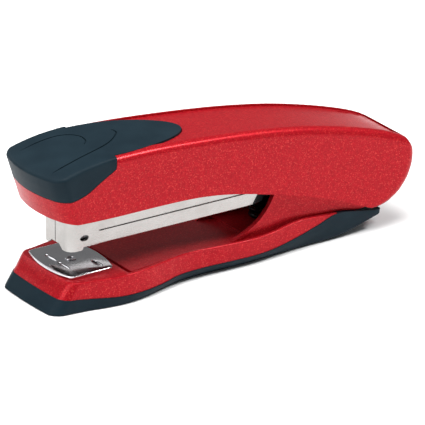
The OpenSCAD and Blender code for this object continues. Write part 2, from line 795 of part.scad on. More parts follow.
base_shell();
base_foot();
hinge_bracket();
bracket_screws();
foot_screws();
hinge_pin();
return_spring();
anvil_button();
anvil_spring();
anvil_plate();
anvil_rivet();
magazine_housing();
staple_rail();
guide_rod();
magazine_end_cap();
staple_strip();
follower();
follower_spring();
cover_shell();
thumb_pad();
handle_frame();
driver_blade();
driver_rivets();
frame_screws();
cover_spring();
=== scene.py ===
"""Half-strip desk stapler: lacquered case, soft thumb pad, plated steel magazine and a turning anvil.

The mouldings are drawn as plain blocks in millimetres, rounded and sliced, then bent over the stapler's
own lines with a lattice. The steelwork is cut and folded from outlines. Everything is scaled to metres last.
"""

import json  # noqa: E402
import logging  # noqa: E402
import math  # noqa: E402
from dataclasses import dataclass, field  # noqa: E402
from enum import Enum  # noqa: E402
from typing import Callable, Sequence  # noqa: E402

import bmesh  # noqa: E402
import bpy  # noqa: E402
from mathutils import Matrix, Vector  # noqa: E402


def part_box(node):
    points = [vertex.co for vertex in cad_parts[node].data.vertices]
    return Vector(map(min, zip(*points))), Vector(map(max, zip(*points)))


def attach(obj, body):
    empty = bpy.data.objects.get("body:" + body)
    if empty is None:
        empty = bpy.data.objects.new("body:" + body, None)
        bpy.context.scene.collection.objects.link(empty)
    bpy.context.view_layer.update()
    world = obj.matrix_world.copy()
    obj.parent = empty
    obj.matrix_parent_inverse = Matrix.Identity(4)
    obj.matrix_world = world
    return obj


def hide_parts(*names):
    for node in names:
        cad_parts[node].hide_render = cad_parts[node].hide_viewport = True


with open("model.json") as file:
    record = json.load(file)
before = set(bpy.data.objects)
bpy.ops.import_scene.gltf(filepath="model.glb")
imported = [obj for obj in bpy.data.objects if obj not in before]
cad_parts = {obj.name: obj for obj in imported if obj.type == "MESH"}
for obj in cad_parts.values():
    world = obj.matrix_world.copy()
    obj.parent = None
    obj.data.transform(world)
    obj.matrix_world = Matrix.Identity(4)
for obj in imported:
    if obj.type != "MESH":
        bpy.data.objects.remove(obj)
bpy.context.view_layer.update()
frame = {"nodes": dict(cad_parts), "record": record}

log = logging.getLogger("stapler")

MM = 0.001
PER_METRE = 1000.0
# millimetres that the bent pieces swell past their lines, taken off so that they stay in the CAD's box
CROWN_SPILL = 0.36
SIDE_SPILL = 0.01
TAIL_SPILL = 0.02
Point = tuple[float, float, float]
Flat = tuple[float, float]
Law = Callable[[float, float, float], Point]


class Axis(Enum):
    """The stapler's own directions."""

    LENGTH = 0
    WIDTH = 1
    HEIGHT = 2


class Body(Enum):
    """The moving bodies that the pieces made here ride on."""

    BASE = "base"
    ANVIL = "anvil"
    MAGAZINE = "magazine"
    COVER = "cover"


# ---------------------------------------------------------------- curves and sizes


def smooth_line(stations: Sequence[Flat], x: float) -> float:
    """Read a smooth curve through stations.

    Args:
        stations: Points of the curve in rising order of their first number.
        x: Where to read it.

    Returns:
        The curve's height at x, held level beyond both ends.
    """
    if x <= stations[0][0]:
        return stations[0][1]
    if x >= stations[-1][0]:
        return stations[-1][1]
    k = max(i for i, s in enumerate(stations[:-1]) if s[0] <= x)
    (x0, y0), (x1, y1) = stations[k], stations[k + 1]
    before = stations[max(k - 1, 0)]
    after = stations[min(k + 2, len(stations) - 1)]
    m0 = (y1 - before[1]) / (x1 - before[0])
    m1 = (after[1] - y0) / (after[0] - x0)
    t, span = (x - x0) / (x1 - x0), x1 - x0
    return (
        (2 * t**3 - 3 * t**2 + 1) * y0
        + (t**3 - 2 * t**2 + t) * span * m0
        + (3 * t**2 - 2 * t**3) * y1
        + (t**3 - t**2) * span * m1
    )


def arc(centre: Flat, radius: float, start: float, end: float, steps: int) -> list[Flat]:
    """Points of an arc.

    Args:
        centre: The arc's centre.
        radius: Its radius.
        start: First angle in degrees.
        end: Last angle in degrees.
        steps: How many chords it has.

    Returns:
        The points, both ends included.
    """
    turns = [math.radians(start + (end - start) * i / steps) for i in range(steps + 1)]
    return [(centre[0] + radius * math.cos(a), centre[1] + radius * math.sin(a)) for a in turns]


def smooth_path(stations: Sequence[Flat], steps: int) -> list[Flat]:
    """Thread a Catmull-Rom curve through points of a plan.

    Args:
        stations: The points.
        steps: Chords between two of them.

    Returns:
        The curve's points.
    """
    path = []
    for k in range(len(stations) - 1):
        p0, p1, p2, p3 = (
            Vector(stations[max(0, min(len(stations) - 1, k + d))]) for d in (-1, 0, 1, 2)
        )
        for i in range(steps):
            t = i / steps
            spot = 0.5 * (
                2 * p1 + (p2 - p0) * t + (2 * p0 - 5 * p1 + 4 * p2 - p3) * t * t
                + (3 * p1 - p0 - 3 * p2 + p3) * t**3
            )
            path.append((spot.x, spot.y))
    return path + [stations[-1]]


def widened(path: Sequence[Flat], width: float) -> list[Flat]:
    """Widen an open path to a closed band that tapers at both ends.

    Args:
        path: The middle line.
        width: The band's full width.

    Returns:
        The band's outline.
    """
    left, right = [], []
    last = len(path) - 1
    for k, spot in enumerate(path):
        way = (Vector(path[min(k + 1, last)]) - Vector(path[max(k - 1, 0)])).normalized()
        share = min(1.0, (k + 0.4) / 5, (last - k + 0.4) / 5)
        across = Vector((-way.y, way.x)) * width / 2 * share
        left.append(tuple(Vector(spot) + across))
        right.append(tuple(Vector(spot) - across))
    return left + right[::-1]


def spread(low: float, high: float, count: int) -> list[float]:
    """Evenly spaced places strictly between two ends."""
    return [low + (high - low) * (i + 1) / (count + 1) for i in range(count)]


def box_mm(node: str) -> tuple[Vector, Vector]:
    """Lowest and highest corners of a CAD node in millimetres."""
    low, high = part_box(node)
    return low * PER_METRE, high * PER_METRE


def joint_place(name: str) -> Vector:
    """A joint's pivot point in millimetres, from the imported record."""
    joints = frame["record"]["behaviour"]["joints"]
    return Vector(next(j["pos_m"] for j in joints if j["name"] == name)) * PER_METRE


@dataclass(frozen=True)
class CaseLines:
    """Lines of the whole case in millimetres, read off the CAD boxes and the hinge."""

    nose_x: float
    tail_x: float
    top_z: float
    skirt_z: float
    hinge: Vector
    half_width: float
    foot_half_width: float
    nose_flare: float = 3.4
    nose_lean: float = 0.3
    nose_bow: float = 3.4
    lip_drop: float = 3.6
    base_back: float = 0.008
    waist: float = 12.2
    cover_wall: float = 1.8
    floor_z: float = 7.6

    @property
    def length(self) -> float:
        """Overall length."""
        return self.tail_x - self.nose_x

    @property
    def tail_r(self) -> float:
        """Radius of the tail about the hinge."""
        return self.tail_x - self.hinge.x - TAIL_SPILL

    @property
    def lip_z(self) -> float:
        """Height of the nose's lip."""
        return self.top_z - self.lip_drop

    def at(self, share: float) -> float:
        """Place along the stapler, as a share of its length from the nose."""
        return self.nose_x + share * self.length

    def stations(self, pairs: Sequence[Flat], level: float) -> list[Flat]:
        """Turn pairs of length share and offset into places and heights above level."""
        return [(self.at(u), level + d) for u, d in pairs]

    def base_stations(self, pairs: Sequence[Flat]) -> list[Flat]:
        """Turn pairs of length share and height into the base's places, which sit a little further back."""
        return [(self.at(u + self.base_back), z) for u, z in pairs]

    def ridge(self, x: float) -> float:
        """Height of the ridge line at x."""
        pairs = (
            (-0.01, -3.8), (0.03, -2.3), (0.09, -0.8), (0.16, 0.0), (0.21, -0.1), (0.3, -0.7),
            (0.4, -1.9), (0.5, -3.4), (0.6, -5.3), (0.71, -8.1), (0.82, -12.0), (0.91, -16.0),
            (0.95, -18.3), (0.975, -20.2), (0.998, -22.6),
        )
        return smooth_line(self.stations(pairs, self.top_z), x)

    def skirt(self, x: float) -> float:
        """Height of the cover's lower edge at x."""
        pairs = (
            (-0.03, 1.6), (0.05, 0.5), (0.17, -0.2), (0.29, -0.5), (0.38, -1.0), (0.45, -2.1),
            (0.52, -4.0), (0.61, -7.2), (0.7, -10.8), (0.778, -14.7),
        )
        line = self.stations(pairs, self.skirt_z) + [(self.hinge.x, self.hinge.z - self.tail_r)]
        return smooth_line(line, x)

    def cover_half_width(self, x: float) -> float:
        """Half-width of the cover at x."""
        tail = self.half_width - self.nose_flare
        return tail + self.nose_flare * max(0.0, (self.tail_x - x) / self.length) ** 1.5

    def part_line(self, x: float) -> float:
        """Height of the seam between the red tray and the black foot at x."""
        pairs = (
            (-0.06, 5.1), (0.03, 4.6), (0.1, 3.8), (0.17, 3.1), (0.28, 3.0), (0.33, 3.6), (0.46, 3.5),
            (0.58, 3.5), (0.66, 5.2), (0.72, 7.3), (0.775, 9.5), (0.85, 8.1), (0.877, 7.4), (0.9, 7.2),
        )
        return smooth_line(self.base_stations(pairs), x)

    def rim(self, x: float) -> float:
        """Height of the tray's rim at x."""
        pairs = (
            (-0.06, 9.9), (0.15, 9.9), (0.19, 10.0), (0.34, 10.1), (0.54, 9.1), (0.6, 9.5),
            (0.64, 10.4), (0.68, 10.8), (0.775, 9.8),
        )
        return smooth_line(self.base_stations(pairs), x)

    def foot_under(self, x: float) -> float:
        """Height of the foot's underside at x."""
        pairs = ((-0.06, 0.0), (0.63, 0.0), (0.7, 0.2), (0.79, 1.0), (0.9, 5.4))
        return smooth_line(self.base_stations(pairs), x)

    def base_half_width(self, x: float) -> float:
        """Half-width of the base at x."""
        flare = self.foot_half_width - self.waist
        pairs = (
            (-0.06, 0.56), (0.03, 0.58), (0.09, 0.7), (0.13, 0.87), (0.18, 1.0), (0.235, 0.92),
            (0.29, 0.68), (0.345, 0.45), (0.41, 0.37), (0.47, 0.4), (0.54, 0.4), (0.61, 0.3),
            (0.7, 0.18), (0.79, 0.12), (0.9, 0.05),
        )
        return self.waist + flare * smooth_line(self.base_stations(pairs), x)


def read_lines() -> CaseLines:
    """Read the case's sizes off the CAD boxes and the hinge joint."""
    _, cover_high = box_mm("cover_shell")
    foot_low, foot_high = box_mm("base_foot")
    return CaseLines(
        nose_x=foot_low.x,
        tail_x=cover_high.x,
        top_z=max(cover_high.z, box_mm("thumb_pad")[1].z) - CROWN_SPILL,
        skirt_z=29.1,
        hinge=joint_place("cover_hinge"),
        half_width=16.8,
        foot_half_width=foot_high.y - SIDE_SPILL,
    )


# ---------------------------------------------------------------- workshop: blocks, outlines, cuts


def deselect_all() -> None:
    """Leave no object selected or active in edit mode."""
    if bpy.context.object and bpy.context.object.mode != "OBJECT":
        bpy.ops.object.mode_set(mode="OBJECT")
    bpy.ops.object.select_all(action="DESELECT")


class Workpiece:
    """A mesh that is shaped in millimetres and finished in metres."""

    def __init__(self, name: str) -> None:
        """Take the object just added as this piece.

        Args:
            name: The piece's name.
        """
        self.object = bpy.context.object
        self.object.name = name
        self.object.data.name = name

    @classmethod
    def block(cls, name: str, low: Sequence[float], high: Sequence[float]) -> "Workpiece":
        """Add a block between two corners.

        Args:
            name: The piece's name.
            low: Lowest corner.
            high: Highest corner.

        Returns:
            The new piece.
        """
        deselect_all()
        centre = (Vector(low) + Vector(high)) / 2
        bpy.ops.mesh.primitive_cube_add(size=1.0, location=centre)
        piece = cls(name)
        piece.object.scale = Vector(high) - Vector(low)
        bpy.ops.object.transform_apply(location=True, rotation=True, scale=True)
        return piece

    @classmethod
    def prism(cls, name: str, outline: Sequence[Flat], along: Axis, low: float, high: float) -> "Workpiece":
        """Trace a closed outline point by point, fill it and draw it out.

        Args:
            name: The piece's name.
            outline: Corners in the two directions that are left, in the order length, width, height.
            along: Direction the outline is drawn out in.
            low: Where the prism starts along that direction.
            high: Where it ends.

        Returns:
            The new piece.
        """
        plane = [axis.value for axis in Axis if axis is not along]

        def place(corner: Flat, level: float) -> Vector:
            """A corner of the outline at a level along the prism."""
            spot = Vector((0.0, 0.0, 0.0))
            spot[plane[0]], spot[plane[1]], spot[along.value] = corner[0], corner[1], level
            return spot

        deselect_all()
        bpy.ops.mesh.primitive_plane_add(size=1.0, location=(0.0, 0.0, 0.0))
        piece = cls(name)
        bpy.ops.object.mode_set(mode="EDIT")
        bpy.ops.mesh.select_mode(type="VERT")
        bpy.ops.mesh.select_all(action="SELECT")
        bpy.ops.mesh.merge(type="CENTER")
        bpy.ops.transform.translate(value=place(outline[0], low))
        for start, end in zip(outline, outline[1:]):
            step = place(end, low) - place(start, low)
            bpy.ops.mesh.extrude_vertices_move(TRANSFORM_OT_translate={"value": step})
        bpy.ops.mesh.select_all(action="SELECT")
        bpy.ops.mesh.edge_face_add()
        reach = place((0.0, 0.0), high - low)
        bpy.ops.mesh.extrude_region_move(TRANSFORM_OT_translate={"value": reach})
        bpy.ops.mesh.select_all(action="SELECT")
        bpy.ops.mesh.normals_make_consistent(inside=False)
        bpy.ops.object.mode_set(mode="OBJECT")
        return piece

    @classmethod
    def rod(
        cls, name: str, centre: Point, radius: float, depth: float, along: Axis, sides: int = 48
    ) -> "Workpiece":
        """Add a round bar.

        Args:
            name: The piece's name.
            centre: Its middle.
            radius: Its radius.
            depth: Its length.
            along: Direction of its axis.
            sides: Facets round it.

        Returns:
            The new piece.
        """
        turn = {
            Axis.LENGTH: (0.0, math.pi / 2, 0.0),
            Axis.WIDTH: (math.pi / 2, 0.0, 0.0),
            Axis.HEIGHT: (0.0, 0.0, 0.0),
        }[along]
        deselect_all()
        bpy.ops.mesh.primitive_cylinder_add(
            vertices=sides, radius=radius, depth=depth, location=centre, rotation=turn
        )
        piece = cls(name)
        bpy.ops.object.transform_apply(location=True, rotation=True, scale=True)
        return piece

    def activate(self) -> None:
        """Select only this piece."""
        deselect_all()
        self.object.select_set(True)
        bpy.context.view_layer.objects.active = self.object

    def pick(self, kind: str, test: Callable[[Vector, Vector], bool]) -> int:
        """Select faces or edges in edit mode.

        Args:
            kind: "FACE" or "EDGE".
            test: Told each element's middle and its normal, or an edge's direction.

        Returns:
            How many were selected.
        """
        self.activate()
        bpy.ops.object.mode_set(mode="EDIT")
        bpy.ops.mesh.select_mode(type=kind)
        bpy.ops.mesh.select_all(action="DESELECT")
        mesh = bmesh.from_edit_mesh(self.object.data)
        found = 0
        for part in mesh.faces if kind == "FACE" else mesh.edges:
            if kind == "FACE":
                middle, way = part.calc_center_median(), part.normal
            else:
                ends = part.verts[0].co, part.verts[1].co
                middle, way = (ends[0] + ends[1]) / 2, (ends[1] - ends[0]).normalized()
            if test(middle, way):
                part.select_set(True)
                found += 1
        mesh.select_flush_mode()
        bmesh.update_edit_mesh(self.object.data)
        return found

    def done(self) -> "Workpiece":
        """Leave edit mode."""
        bpy.ops.object.mode_set(mode="OBJECT")
        return self

    def round_edges(
        self, test: Callable[[Vector, Vector], bool], radius: float, segments: int = 6
    ) -> "Workpiece":
        """Round the edges that pass a test.

        Args:
            test: Told each edge's middle and direction.
            radius: The rounding's radius.
            segments: Facets across it.

        Returns:
            This piece.
        """
        if self.pick("EDGE", test):
            bpy.ops.mesh.bevel(offset=radius, segments=segments, affect="EDGES", clamp_overlap=True)
        return self.done()

    def sink(
        self, test: Callable[[Vector, Vector], bool], margin: float, drop: float
    ) -> "Workpiece":
        """Inset the faces that pass a test and push them down.

        Args:
            test: Told each face's middle and normal.
            margin: Width of the border that stays.
            drop: How far the rest goes down, negative for up.

        Returns:
            This piece.
        """
        if self.pick("FACE", test):
            bpy.ops.mesh.inset(thickness=margin, depth=0.0, use_boundary=True)
            if drop:
                bpy.ops.mesh.extrude_region_move(TRANSFORM_OT_translate={"value": (0.0, 0.0, -drop)})
        return self.done()

    def slice(self, along: Axis, places: Sequence[float]) -> "Workpiece":
        """Cut rings of edges across the piece.

        Args:
            along: Direction that the cuts are spread along.
            places: Where they are.

        Returns:
            This piece.
        """
        normal = [0.0, 0.0, 0.0]
        normal[along.value] = 1.0
        self.activate()
        bpy.ops.object.mode_set(mode="EDIT")
        for place in places:
            spot = [0.0, 0.0, 0.0]
            spot[along.value] = place
            bpy.ops.mesh.select_all(action="SELECT")
            bpy.ops.mesh.bisect(plane_co=spot, plane_no=normal)
        return self.done()

    def bend(self, law: Law, counts: tuple[int, int, int]) -> "Workpiece":
        """Bend the piece with a lattice whose points follow a law.

        Args:
            law: Maps a place before bending to its place after.
            counts: Lattice points along the length, width and height.

        Returns:
            This piece.
        """
        corners = [Vector(c) for c in self.object.bound_box]
        low = Vector([min(c[i] for c in corners) - 0.5 for i in range(3)])
        high = Vector([max(c[i] for c in corners) + 0.5 for i in range(3)])
        deselect_all()
        bpy.ops.object.add(type="LATTICE", location=(low + high) / 2)
        cage = bpy.context.object
        cage.scale = high - low
        cage.data.points_u, cage.data.points_v, cage.data.points_w = counts
        cage.data.interpolation_type_u = "KEY_CARDINAL"
        cage.data.interpolation_type_v = "KEY_CARDINAL"
        cage.data.interpolation_type_w = "KEY_CARDINAL"
        bpy.context.view_layer.update()
        centre, size = (low + high) / 2, high - low
        for point in cage.data.points:
            rest = Vector([centre[i] + point.co[i] * size[i] for i in range(3)])
            target = Vector(law(*rest))
            point.co_deform = Vector([(target[i] - centre[i]) / size[i] for i in range(3)])
        self.apply_modifier("LATTICE", object=cage)
        bpy.data.objects.remove(cage)
        return self

    def apply_modifier(self, kind: str, **settings: object) -> "Workpiece":
        """Add a modifier, set it up and apply it.

        Args:
            kind: The modifier's type.
            **settings: Its settings.

        Returns:
            This piece.
        """
        self.activate()
        modifier = self.object.modifiers.new(kind.title(), kind)
        for key, value in settings.items():
            setattr(modifier, key, value)
        bpy.ops.object.modifier_apply(modifier=modifier.name)
        return self

    def soften(self, width: float, segments: int, degrees: float) -> None:
        """Bevel every edge that turns by more than the given angle."""
        self.apply_modifier(
            "BEVEL", width=width, segments=segments, limit_method="ANGLE", angle_limit=math.radians(degrees)
        )

    def combine(self, other: "Workpiece", how: str, keep: bool = False) -> "Workpiece":
        """Join, cut or trim this piece with another.

        Args:
            other: The tool piece.
            how: "UNION", "DIFFERENCE" or "INTERSECT".
            keep: Whether the tool piece stays.

        Returns:
            This piece.
        """
        self.apply_modifier("BOOLEAN", object=other.object, operation=how, solver="EXACT")
        if not keep:
            other.scrap()
        return self

    def cut(self, *tools: "Workpiece") -> "Workpiece":
        """Cut the tools' shapes out of this piece."""
        for tool in tools:
            self.combine(tool, "DIFFERENCE")
        return self

    def scrap(self) -> None:
        """Remove a tool piece that is used up."""
        bpy.data.objects.remove(self.object)

    def finish(self, body: Body, slot: str, *nodes: str, angle: float = 32.0) -> bpy.types.Object:
        """Scale the piece to metres, smooth it and hang it on its body.

        Args:
            body: Body that it rides on.
            slot: Material slot of the record, not used here.
            *nodes: CAD nodes that it stands for.
            angle: Edges sharper than this stay sharp.

        Returns:
            The finished object.
        """
        self.activate()
        bpy.ops.object.mode_set(mode="EDIT")
        bpy.ops.mesh.select_mode(type="VERT")
        bpy.ops.mesh.select_all(action="SELECT")
        bpy.ops.mesh.remove_doubles(threshold=0.002)
        bpy.ops.mesh.delete_loose()
        bpy.ops.object.mode_set(mode="OBJECT")
        self.object.scale = (MM, MM, MM)
        bpy.ops.object.transform_apply(location=True, rotation=True, scale=True)
        bpy.ops.object.shade_smooth_by_angle(angle=math.radians(angle))
        if nodes:
            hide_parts(*nodes)
        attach(self.object, body.value)
        log.info("%s: %d faces", self.object.name, len(self.object.data.polygons))
        return self.object


# ---------------------------------------------------------------- finishes


def linear(hex_colour: str) -> tuple[float, float, float, float]:
    """Turn an sRGB hex colour into linear RGBA."""
    channels = [int(hex_colour[i : i + 2], 16) / 255 for i in (1, 3, 5)]
    return tuple(c / 12.92 if c <= 0.04045 else ((c + 0.055) / 1.055) ** 2.4 for c in channels) + (1.0,)


def add_node(
    tree: bpy.types.NodeTree, kind: str, sockets: dict[str, object] | None = None, **settings: object
) -> bpy.types.Node:
    """Add one shader node, set it up and link it.

    Args:
        tree: The material's or world's node tree.
        kind: The node's type name.
        sockets: Input values, or output sockets to link to them.
        **settings: The node's own settings.

    Returns:
        The new node.
    """
    node = tree.nodes.new(kind)
    for key, value in settings.items():
        setattr(node, key, value)
    for name, value in (sockets or {}).items():
        if isinstance(value, bpy.types.NodeSocket):
            tree.links.new(value, node.inputs[name])
        else:
            node.inputs[name].default_value = value
    return node


def set_ramp(ramp: bpy.types.Node, stops: Sequence[tuple[float, object]]) -> None:
    """Set a colour ramp's stops.

    Args:
        ramp: The ramp node.
        stops: Places with a hex colour or a grey value each.
    """
    elements = ramp.color_ramp.elements
    while len(elements) < len(stops):
        elements.new(0.5)
    for element, (place, colour) in zip(elements, stops):
        element.position = place
        element.color = linear(colour) if isinstance(colour, str) else (colour, colour, colour, 1.0)


def per_mm(size_mm: float) -> float:
    """Texture scale for a pattern whose cells are size_mm wide, on coordinates in metres."""
    return 1.0 / (size_mm * MM)


@dataclass(frozen=True)
class Finish:
    """A surface finish; each kind lays its own pattern over the shader."""

    name: str
    colour: str
    roughness: float
    metallic: float = 0.0
    grain_mm: float = 0.3
    grain_depth_mm: float = 0.004
    sheen: float = 0.5

    def start(self) -> tuple[bpy.types.Material, bpy.types.NodeTree, bpy.types.Node, bpy.types.NodeSocket]:
        """Make the material with its shader, set the constant values and give the coordinates.

        Returns:
            The material, its tree, the shader and the object coordinates.
        """
        material = bpy.data.materials.new(self.name)
        material.use_nodes = True
        tree = material.node_tree
        shader = tree.nodes["Principled BSDF"]
        shader.inputs["Base Color"].default_value = linear(self.colour)
        shader.inputs["Roughness"].default_value = self.roughness
        shader.inputs["Metallic"].default_value = self.metallic
        shader.inputs["Specular IOR Level"].default_value = self.sheen
        coordinates = add_node(tree, "ShaderNodeTexCoord").outputs["Object"]
        return material, tree, shader, coordinates

    def build(self) -> bpy.types.Material:
        """Make the material."""
        raise NotImplementedError


@dataclass(frozen=True)
class FlakeLacquer(Finish):
    """Metallic red lacquer on moulded ABS: aluminium flakes under a clear coat give a sparkling grain."""

    deep: str = "#84101a"
    flake: str = "#d8463f"
    flake_mm: float = 0.27
    cloud_mm: float = 1.1

    def build(self) -> bpy.types.Material:
        """Lay flakes of two sizes and a faint cloudiness into the colour, and tilt the flakes.

        Real flakes are about 0.05 mm; they are drawn about eight times as coarse so that they show.
        """
        material, tree, shader, place = self.start()
        flakes = add_node(
            tree, "ShaderNodeTexVoronoi", {"Vector": place, "Scale": per_mm(self.flake_mm)}
        )
        spark = add_node(tree, "ShaderNodeSeparateColor", {"Color": flakes.outputs["Color"]})
        fine = add_node(
            tree, "ShaderNodeTexNoise",
            {"Vector": place, "Scale": per_mm(self.flake_mm * 1.3), "Detail": 2.0, "Roughness": 0.8},
        )
        cloud = add_node(
            tree, "ShaderNodeTexNoise", {"Vector": place, "Scale": per_mm(self.cloud_mm), "Detail": 3.0}
        )
        mixed = add_node(
            tree, "ShaderNodeMix",
            {"Factor": 0.45, "A": spark.outputs["Red"], "B": fine.outputs["Fac"]},
        )
        shade = add_node(tree, "ShaderNodeValToRGB", {"Fac": mixed.outputs["Result"]})
        set_ramp(shade, ((0.12, self.deep), (0.42, self.colour), (0.66, self.colour), (0.9, self.flake)))
        drift = add_node(
            tree, "ShaderNodeMapRange",
            {"Value": cloud.outputs["Fac"], "From Min": 0.3, "From Max": 0.7, "To Min": 0.9, "To Max": 1.1},
        )
        tone = add_node(
            tree, "ShaderNodeHueSaturation",
            {"Color": shade.outputs["Color"], "Value": drift.outputs["Result"]},
        )
        tree.links.new(tone.outputs["Color"], shader.inputs["Base Color"])
        tilt = add_node(
            tree, "ShaderNodeBump",
            {"Height": mixed.outputs["Result"], "Distance": self.grain_depth_mm * MM, "Strength": 0.5},
        )
        tree.links.new(tilt.outputs["Normal"], shader.inputs["Normal"])
        shader.inputs["Coat Weight"].default_value = 0.13
        shader.inputs["Coat Roughness"].default_value = 0.17
        return material


@dataclass(frozen=True)
class SoftTouch(Finish):
    """Blue-black thermoplastic rubber, spark-eroded mould grain: satin, with a faint bloom."""

    worn: str = "#1d2b33"

    def build(self) -> bpy.types.Material:
        """Lay the mould grain as bump and drift the colour a little."""
        material, tree, shader, place = self.start()
        grain = add_node(
            tree, "ShaderNodeTexNoise",
            {"Vector": place, "Scale": per_mm(self.grain_mm), "Detail": 3.0, "Roughness": 0.6},
        )
        bloom = add_node(tree, "ShaderNodeTexNoise", {"Vector": place, "Scale": per_mm(9.0), "Detail": 4.0})
        shade = add_node(tree, "ShaderNodeValToRGB", {"Fac": bloom.outputs["Fac"]})
        set_ramp(shade, ((0.3, self.colour), (0.75, self.worn)))
        tree.links.new(shade.outputs["Color"], shader.inputs["Base Color"])
        rough = add_node(
            tree, "ShaderNodeMapRange",
            {"Value": grain.outputs["Fac"], "To Min": self.roughness - 0.06, "To Max": self.roughness + 0.06},
        )
        tree.links.new(rough.outputs["Result"], shader.inputs["Roughness"])
        bump = add_node(
            tree, "ShaderNodeBump",
            {"Height": grain.outputs["Fac"], "Distance": self.grain_depth_mm * MM, "Strength": 0.6},
        )
        tree.links.new(bump.outputs["Normal"], shader.inputs["Normal"])
        return material


@dataclass(frozen=True)
class WorkedSteel(Finish):
    """Plated, rolled or drawn steel: fine lines along the stapler and soft handling marks."""

    lines_mm: Point = (14.0, 0.12, 0.12)
    tarnish: str = "#b9b2a8"
    mark_mm: float = 11.0
    polish: float = 0.06

    def build(self) -> bpy.types.Material:
        """Draw the rolling lines, vary the polish and let the plating dull in patches."""
        material, tree, shader, place = self.start()
        scale = tuple(per_mm(size) for size in self.lines_mm)
        stretched = add_node(tree, "ShaderNodeMapping", {"Vector": place, "Scale": scale})
        lines = add_node(
            tree, "ShaderNodeTexNoise", {"Vector": stretched.outputs["Vector"], "Scale": 1.0, "Detail": 4.0}
        )
        marks = add_node(
            tree, "ShaderNodeTexNoise",
            {"Vector": place, "Scale": per_mm(self.mark_mm), "Detail": 5.0, "Roughness": 0.65},
        )
        shade = add_node(tree, "ShaderNodeValToRGB", {"Fac": marks.outputs["Fac"]})
        set_ramp(shade, ((0.35, self.colour), (0.8, self.tarnish)))
        tree.links.new(shade.outputs["Color"], shader.inputs["Base Color"])
        mixed = add_node(
            tree, "ShaderNodeMix", {"Factor": 0.5, "A": lines.outputs["Fac"], "B": marks.outputs["Fac"]}
        )
        rough = add_node(
            tree, "ShaderNodeMapRange",
            {
                "Value": mixed.outputs["Result"], "From Min": 0.3, "From Max": 0.7,
                "To Min": self.roughness - self.polish, "To Max": self.roughness + self.polish,
            },
        )
        tree.links.new(rough.outputs["Result"], shader.inputs["Roughness"])
        bump = add_node(
            tree, "ShaderNodeBump",
            {"Height": lines.outputs["Fac"], "Distance": self.grain_depth_mm * MM, "Strength": 0.4},
        )
        tree.links.new(bump.outputs["Normal"], shader.inputs["Normal"])
        return material


@dataclass(frozen=True)
class PaleSurface(Finish):
    """Matt white board that the stapler stands on."""

    def build(self) -> bpy.types.Material:
        """Give the board a barely visible tooth."""
        material, tree, shader, place = self.start()
        tooth = add_node(tree, "ShaderNodeTexNoise", {"Vector": place, "Scale": per_mm(self.grain_mm)})
        bump = add_node(
            tree, "ShaderNodeBump",
            {"Height": tooth.outputs["Fac"], "Distance": self.grain_depth_mm * MM, "Strength": 0.1},
        )
        tree.links.new(bump.outputs["Normal"], shader.inputs["Normal"])
        return material


FINISHES: dict[str, Finish] = {
    "red_shell": FlakeLacquer(
        "red_flake_lacquer_on_abs", "#a5121e", 0.34, 0.3, grain_depth_mm=0.03, sheen=0.05
    ),
    "soft_black": SoftTouch(
        "soft_touch_rubber", "#14222a", 0.46, grain_mm=0.22, grain_depth_mm=0.01, sheen=0.07, worn="#1a2931"
    ),
    "black_plastic": SoftTouch("moulded_black_abs", "#14181a", 0.38, sheen=0.2, worn="#1c2123"),
    "nickel_steel": WorkedSteel("nickel_plated_steel", "#aeacaa", 0.27, 1.0, tarnish="#a09d9a"),
    "chrome_plate": WorkedSteel(
        "chrome_plated_steel", "#d6d6da", 0.14, 1.0, lines_mm=(0.5, 0.5, 0.5), tarnish="#c9c9ce",
        grain_depth_mm=0.001, polish=0.04,
    ),
    "zinc_steel": WorkedSteel("zinc_plated_steel", "#a9adb3", 0.36, 1.0, tarnish="#8f9296"),
    "spring_steel": WorkedSteel(
        "drawn_spring_wire", "#77797c", 0.3, 1.0, lines_mm=(0.3, 0.3, 0.3), tarnish="#5f6164"
    ),
    "staple_wire": WorkedSteel(
        "galvanised_staple_wire", "#c8c9cc", 0.24, 1.0, lines_mm=(0.3, 3.0, 3.0), tarnish="#b2b3b6"
    ),
}


def dress(thing: bpy.types.Object, material: bpy.types.Material) -> None:
    """Give an object one material."""
    thing.data.materials.clear()
    thing.data.materials.append(material)


# ---------------------------------------------------------------- cover and pad


